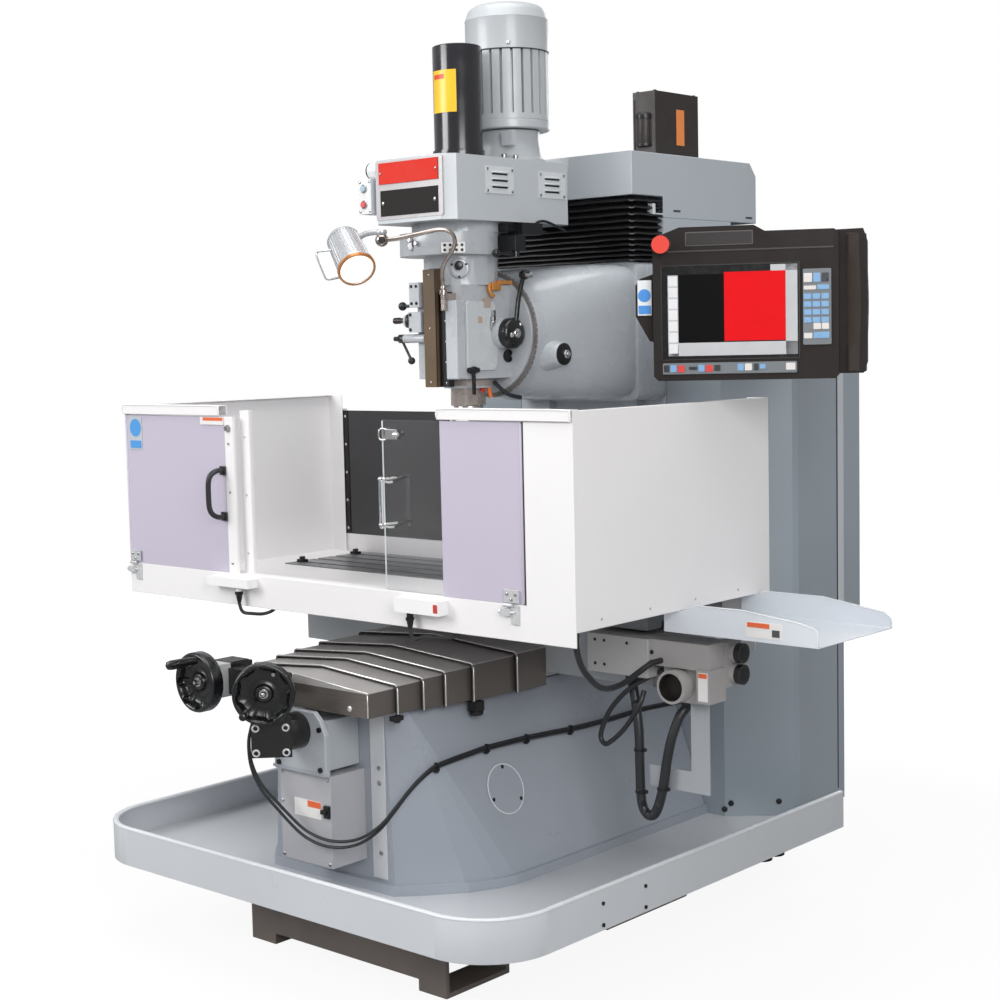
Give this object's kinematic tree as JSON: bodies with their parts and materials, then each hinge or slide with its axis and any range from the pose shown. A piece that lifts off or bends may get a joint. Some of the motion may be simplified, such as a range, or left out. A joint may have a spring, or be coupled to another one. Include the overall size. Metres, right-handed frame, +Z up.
{
  "type": "cnc bed milling machine",
  "caption": "Bed mill with a head that rises on a column, a table crossing on a saddle inside a sheet guard with doors, a chip pan, handwheels and a swinging control pendant.",
  "frame": {"origin": "on the floor, straight below the spindle axis", "axes": "+Z up, +Y from the operator towards the column, +X to the operator's right, along the table"},
  "size_m": [2.204, 2.1163, 2.773],
  "materials": {
    "frame_paint": "satin dark grey paint",
    "grey_paint": "semi-gloss light grey paint",
    "white_sheet": "semi-gloss off-white powder coat",
    "door_panel": "protective film, pale lavender",
    "clear": "clear polycarbonate sheet",
    "dark_window": "smoked polycarbonate sheet",
    "stainless": "brushed stainless sheet",
    "ground_iron": "ground cast iron",
    "steel": "ground steel",
    "galvanised": "bare sheet",
    "black_metal": "black enamel",
    "black_plastic": "black moulded plastic",
    "cable": "black cable jacket",
    "bellows": "black folded fabric",
    "brown_paint": "bronze brown paint",
    "pendant_paint": "dark brown textured paint",
    "plates": "printed plates without lettering",
    "red_plastic": "red moulded plastic",
    "green_plastic": "green moulded plastic",
    "lamp": "cast aluminium",
    "motor": "grey paint on ribbed aluminium"
  },
  "bodies": {
    "machine": {"plinth": "frame_paint", "level_feet": "black_metal", "chip_pan": "grey_paint", "base_casting": "grey_paint", "column_casting": "grey_paint", "cabinets": "grey_paint", "top_cover": "grey_paint", "z_motor": "black_metal", "way_cover_front": "stainless", "front_box": "grey_paint", "drive_bracket": "grey_paint", "handwheel_mount": "black_metal", "fasteners": "black_metal", "base_cable": "cable", "bellows": "bellows"},
    "saddle": {"saddle": "grey_paint", "junction_box": "galvanised", "x_drive": "grey_paint", "cable_bracket": "grey_paint", "splash_frame": "white_sheet", "splash_windows": "dark_window", "saddle_conduit": "cable", "way_cover_rear": "stainless", "table_cable": "cable"},
    "cover_2": {"way_cover_2": "stainless"},
    "cover_3": {"way_cover_3": "stainless"},
    "cover_4": {"way_cover_4": "stainless"},
    "cover_5": {"way_cover_5": "stainless"},
    "table": {"table": "ground_iron", "guard": "white_sheet", "chip_chute": "galvanised", "interlocks": "black_plastic"},
    "left_door": {"left_door": "door_panel", "left_door_handle": "black_plastic"},
    "right_door": {"right_door": "door_panel"},
    "clear_door": {"clear_door": "clear", "clear_door_handle": "steel"},
    "head": {"ram": "grey_paint", "head_casting": "grey_paint", "belt_housing": "grey_paint", "head_motor": "motor", "drawbar_cover": "black_metal", "head_plates": "plates", "scale_guard": "brown_paint", "lamp_pipe": "steel"},
    "quill": {"quill": "steel"},
    "spindle": {"spindle": "steel"},
    "quill_lever": {"quill_lever": "black_metal"},
    "speed_lever": {"speed_lever": "black_plastic"},
    "lock_lever": {"lock_lever": "black_plastic"},
    "stop_lever": {"stop_lever": "steel"},
    "lamp": {"lamp": "lamp"},
    "front_wheel": {"wheel_front": "black_plastic"},
    "left_wheel": {"wheel_left": "black_plastic"},
    "left_grip": {"handle_left": "black_plastic"},
    "arm": {"pendant_arm": "pendant_paint"},
    "pendant": {"pendant": "pendant_paint"},
    "estop": {"estop": "red_plastic"},
    "start_button": {"start_button": "green_plastic"},
    "stop_button": {"stop_button": "red_plastic"}
  },
  "joints": [
    {"name": "saddle_y", "type": "slide", "parent": "machine", "child": "saddle", "axis": [0, 1, 0], "range_m": [-0.204, 0.304]},
    {"name": "cover_2_slide", "type": "slide", "parent": "machine", "child": "cover_2", "axis": [0, 1, 0], "range_m": [-0.05, 0.07]},
    {"name": "cover_3_slide", "type": "slide", "parent": "machine", "child": "cover_3", "axis": [0, 1, 0], "range_m": [-0.09, 0.13]},
    {"name": "cover_4_slide", "type": "slide", "parent": "machine", "child": "cover_4", "axis": [0, 1, 0], "range_m": [-0.13, 0.19]},
    {"name": "cover_5_slide", "type": "slide", "parent": "machine", "child": "cover_5", "axis": [0, 1, 0], "range_m": [-0.17, 0.25]},
    {"name": "table_x", "type": "slide", "parent": "saddle", "child": "table", "axis": [1, 0, 0], "range_m": [-0.5, 0.5]},
    {"name": "left_door_hinge", "type": "hinge", "parent": "table", "child": "left_door", "pos_m": [-0.884, -0.6, 1.33], "axis": [0, 0, -1], "range_deg": [0, 100]},
    {"name": "right_door_hinge", "type": "hinge", "parent": "table", "child": "right_door", "pos_m": [0.726, -0.6, 1.33], "axis": [0, 0, 1], "range_deg": [0, 100]},
    {"name": "clear_door_slide", "type": "slide", "parent": "table", "child": "clear_door", "axis": [-1, 0, 0], "range_m": [0, 0.6]},
    {"name": "head_z", "type": "slide", "parent": "machine", "child": "head", "axis": [0, 0, 1], "range_m": [-0.34, 0.14], "deforming": ["bellows"]},
    {"name": "quill_feed", "type": "slide", "parent": "head", "child": "quill", "axis": [0, 0, -1], "range_m": [0, 0.127]},
    {"name": "spindle_turn", "type": "hinge", "parent": "quill", "child": "spindle", "pos_m": [0, 0, 1.6], "axis": [0, 0, -1], "continuous": true},
    {"name": "quill_lever_turn", "type": "hinge", "parent": "head", "child": "quill_lever", "pos_m": [0.13, 0.04, 1.781], "axis": [1, 0, 0], "range_deg": [0, 182]},
    {"name": "speed_lever_turn", "type": "hinge", "parent": "head", "child": "speed_lever", "pos_m": [0.162, 0.045, 2.013], "axis": [0, 0, 1], "range_deg": [0, 40]},
    {"name": "quill_lock_turn", "type": "hinge", "parent": "head", "child": "lock_lever", "pos_m": [0.105, -0.088, 1.676], "axis": [1, 0, 0], "range_deg": [-60, 60]},
    {"name": "stop_lever_turn", "type": "hinge", "parent": "head", "child": "stop_lever", "pos_m": [-0.15, -0.122, 1.772], "axis": [1, 0, 0], "range_deg": [-90, 90]},
    {"name": "lamp_swivel", "type": "hinge", "parent": "head", "child": "lamp", "pos_m": [0, -0.345, 2.07], "axis": [0, 0, 1], "range_deg": [-60, 60]},
    {"name": "front_wheel_turn", "type": "hinge", "parent": "machine", "child": "front_wheel", "pos_m": [0.04, -0.868, 0.845], "axis": [0.7071, -0.7071, 0], "continuous": true},
    {"name": "left_wheel_turn", "type": "hinge", "parent": "machine", "child": "left_wheel", "pos_m": [-0.218, -0.857, 0.845], "axis": [0, -1, 0], "continuous": true},
    {"name": "left_grip_turn", "type": "hinge", "parent": "left_wheel", "child": "left_grip", "pos_m": [-0.203, -0.912, 0.909], "axis": [0, -1, 0], "continuous": true},
    {"name": "arm_swing", "type": "hinge", "parent": "machine", "child": "arm", "pos_m": [0.745, 0.8, 1.85], "axis": [0, 0, 1], "range_deg": [-10, 60]},
    {"name": "pendant_swivel", "type": "hinge", "parent": "arm", "child": "pendant", "pos_m": [0.94527, 0.09401, 1.85], "axis": [0, 0, 1], "range_deg": [-45, 45]},
    {"name": "estop_press", "type": "slide", "parent": "pendant", "child": "estop", "axis": [-0.4772, 0.8788, 0], "range_m": [0, 0.006]},
    {"name": "start_press", "type": "slide", "parent": "head", "child": "start_button", "axis": [0, 1, 0], "range_m": [0, 0.003], "stiffness_N_per_m": 400},
    {"name": "stop_press", "type": "slide", "parent": "head", "child": "stop_button", "axis": [0, 1, 0], "range_m": [0, 0.003], "stiffness_N_per_m": 400}
  ],
  "couplings": [
    {"joint": "cover_2_slide", "follows": "saddle_y", "ratio": 0.2},
    {"joint": "cover_3_slide", "follows": "saddle_y", "ratio": 0.4},
    {"joint": "cover_4_slide", "follows": "saddle_y", "ratio": 0.6},
    {"joint": "cover_5_slide", "follows": "saddle_y", "ratio": 0.8},
    {"joint": "quill_lever_turn", "follows": "quill_feed", "rad_per_m": 24.737}
  ]
}
